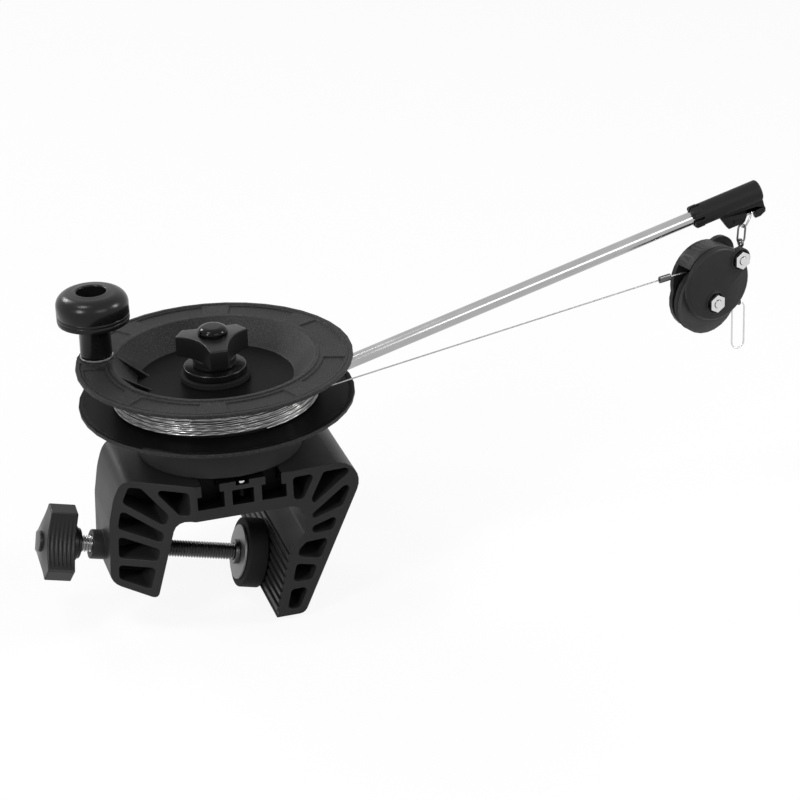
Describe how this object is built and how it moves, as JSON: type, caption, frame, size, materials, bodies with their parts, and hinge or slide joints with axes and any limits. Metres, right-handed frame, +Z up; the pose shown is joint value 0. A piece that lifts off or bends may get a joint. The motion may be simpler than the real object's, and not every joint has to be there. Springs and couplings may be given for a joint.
{
  "type": "downrigger",
  "caption": "Manual downrigger: a gunwale clamp with a screw, a cable spool on a turret with a crank and a brake knob, and a straight boom with a hanging pulley block",
  "frame": {"origin": "On the reel axis, at the underside of the bridge of the clamp, where it rests on the gunwale", "axes": "+Z up along the reel axis, +X from the screw side of the clamp to its fixed jaw and out along the boom, +Y to the far side, away from the camera of the picture"},
  "size_m": [0.4458, 0.1524, 0.1894],
  "materials": {
    "body_plastic": "fine matte black moulding",
    "spool_plastic": "grained black moulding",
    "gloss_plastic": "smooth black moulding",
    "rubber": "matte black",
    "boom_chrome": "polished",
    "steel": "bright turned steel",
    "dark_steel": "dark oiled steel",
    "cable_steel": "fine stranded stainless cable"
  },
  "bodies": {
    "frame": {"clamp_body": "body_plastic", "thread_insert": "steel", "reel_base": "body_plastic", "base_stop_screw": "boom_chrome", "spindle": "steel", "boom": "boom_chrome", "boom_set_screw": "steel", "boom_end": "body_plastic", "hang_pin": "steel", "brake_lining_lower": "rubber", "cable_span": "cable_steel", "crimp_sleeve": "dark_steel"},
    "spool": {"spool_top_flange": "spool_plastic", "spool_bottom_flange": "spool_plastic", "spool_screw_1": "steel", "spool_screw_2": "steel", "spool_screw_3": "steel", "spool_bush": "steel", "brake_lining_upper": "rubber", "cable_core": "cable_steel", "cable_winding": "cable_steel", "crank_stud": "steel", "crank_washer": "steel", "crank_nut": "steel"},
    "crank": {"crank_knob": "gloss_plastic"},
    "brake_disc": {"brake_collar": "gloss_plastic"},
    "brake": {"brake_knob": "body_plastic", "brake_knob_cap": "gloss_plastic"},
    "pad": {"clamp_pad": "rubber", "pad_washer": "steel"},
    "screw": {"clamp_screw": "dark_steel", "clamp_knob": "body_plastic", "retainer": "steel"},
    "upper_link": {"hang_link": "steel"},
    "lower_link": {"swivel_link": "dark_steel"},
    "pulley": {"becket": "steel", "near_cheek": "body_plastic", "far_cheek": "body_plastic", "axle_bolt": "boom_chrome", "axle_nut": "boom_chrome", "upper_bolt": "boom_chrome", "upper_nut": "boom_chrome", "cable_lead": "cable_steel", "lead_eye": "dark_steel"},
    "pulley_wheel": {"sheave": "body_plastic"},
    "snap_loop": {"snap": "boom_chrome"}
  },
  "joints": [
    {"name": "spool_spin", "type": "hinge", "parent": "frame", "child": "spool", "pos_m": [0, 0, 0.0555], "axis": [0, 0, 1], "continuous": true},
    {"name": "crank_spin", "type": "hinge", "parent": "spool", "child": "crank", "pos_m": [-0.061, 0.0226, 0.09], "axis": [0, 0, 1], "continuous": true},
    {"name": "brake_lift", "type": "slide", "parent": "frame", "child": "brake_disc", "axis": [0, 0, 1], "range_m": [0, 0.0016]},
    {"name": "brake_turn", "type": "hinge", "parent": "brake_disc", "child": "brake", "pos_m": [0, 0, 0.08], "axis": [0, 0, 1], "range_deg": [0, 360]},
    {"name": "pad_travel", "type": "slide", "parent": "frame", "child": "pad", "axis": [0.9703, 0, -0.2419], "range_m": [-0.0445, 0]},
    {"name": "screw_turn", "type": "hinge", "parent": "pad", "child": "screw", "pos_m": [-0.04478, 0, -0.03522], "axis": [0.9703, 0, -0.2419], "range_deg": [-10092, 0]},
    {"name": "upper_link_swing", "type": "hinge", "parent": "frame", "child": "upper_link", "pos_m": [0.32943, 0.028, 0.1001], "axis": [0.965, 0, 0.2622], "range_deg": [0, 12]},
    {"name": "lower_link_swing", "type": "hinge", "parent": "upper_link", "child": "lower_link", "pos_m": [0.3239, 0.028, 0.092], "axis": [0.2588, -0.9659, 0], "range_deg": [0, 12]},
    {"name": "pulley_swing", "type": "hinge", "parent": "lower_link", "child": "pulley", "pos_m": [0.32243, 0.0265, 0.0827], "axis": [0.2588, -0.9659, 0], "range_deg": [0, 12]},
    {"name": "sheave_spin", "type": "hinge", "parent": "pulley", "child": "pulley_wheel", "pos_m": [0.29818, 0.02001, 0.0544], "axis": [0.2588, -0.9659, 0], "continuous": true},
    {"name": "snap_swing", "type": "hinge", "parent": "pulley", "child": "snap_loop", "pos_m": [0.32136, 0.02622, 0.04425], "axis": [0.2588, -0.9659, 0], "range_deg": [-20, 20]}
  ],
  "couplings": [
    {"joint": "brake_lift", "follows": "brake_turn", "m_per_rad": 0.00025266},
    {"joint": "screw_turn", "follows": "pad_travel", "rad_per_m": 3957.9}
  ]
}
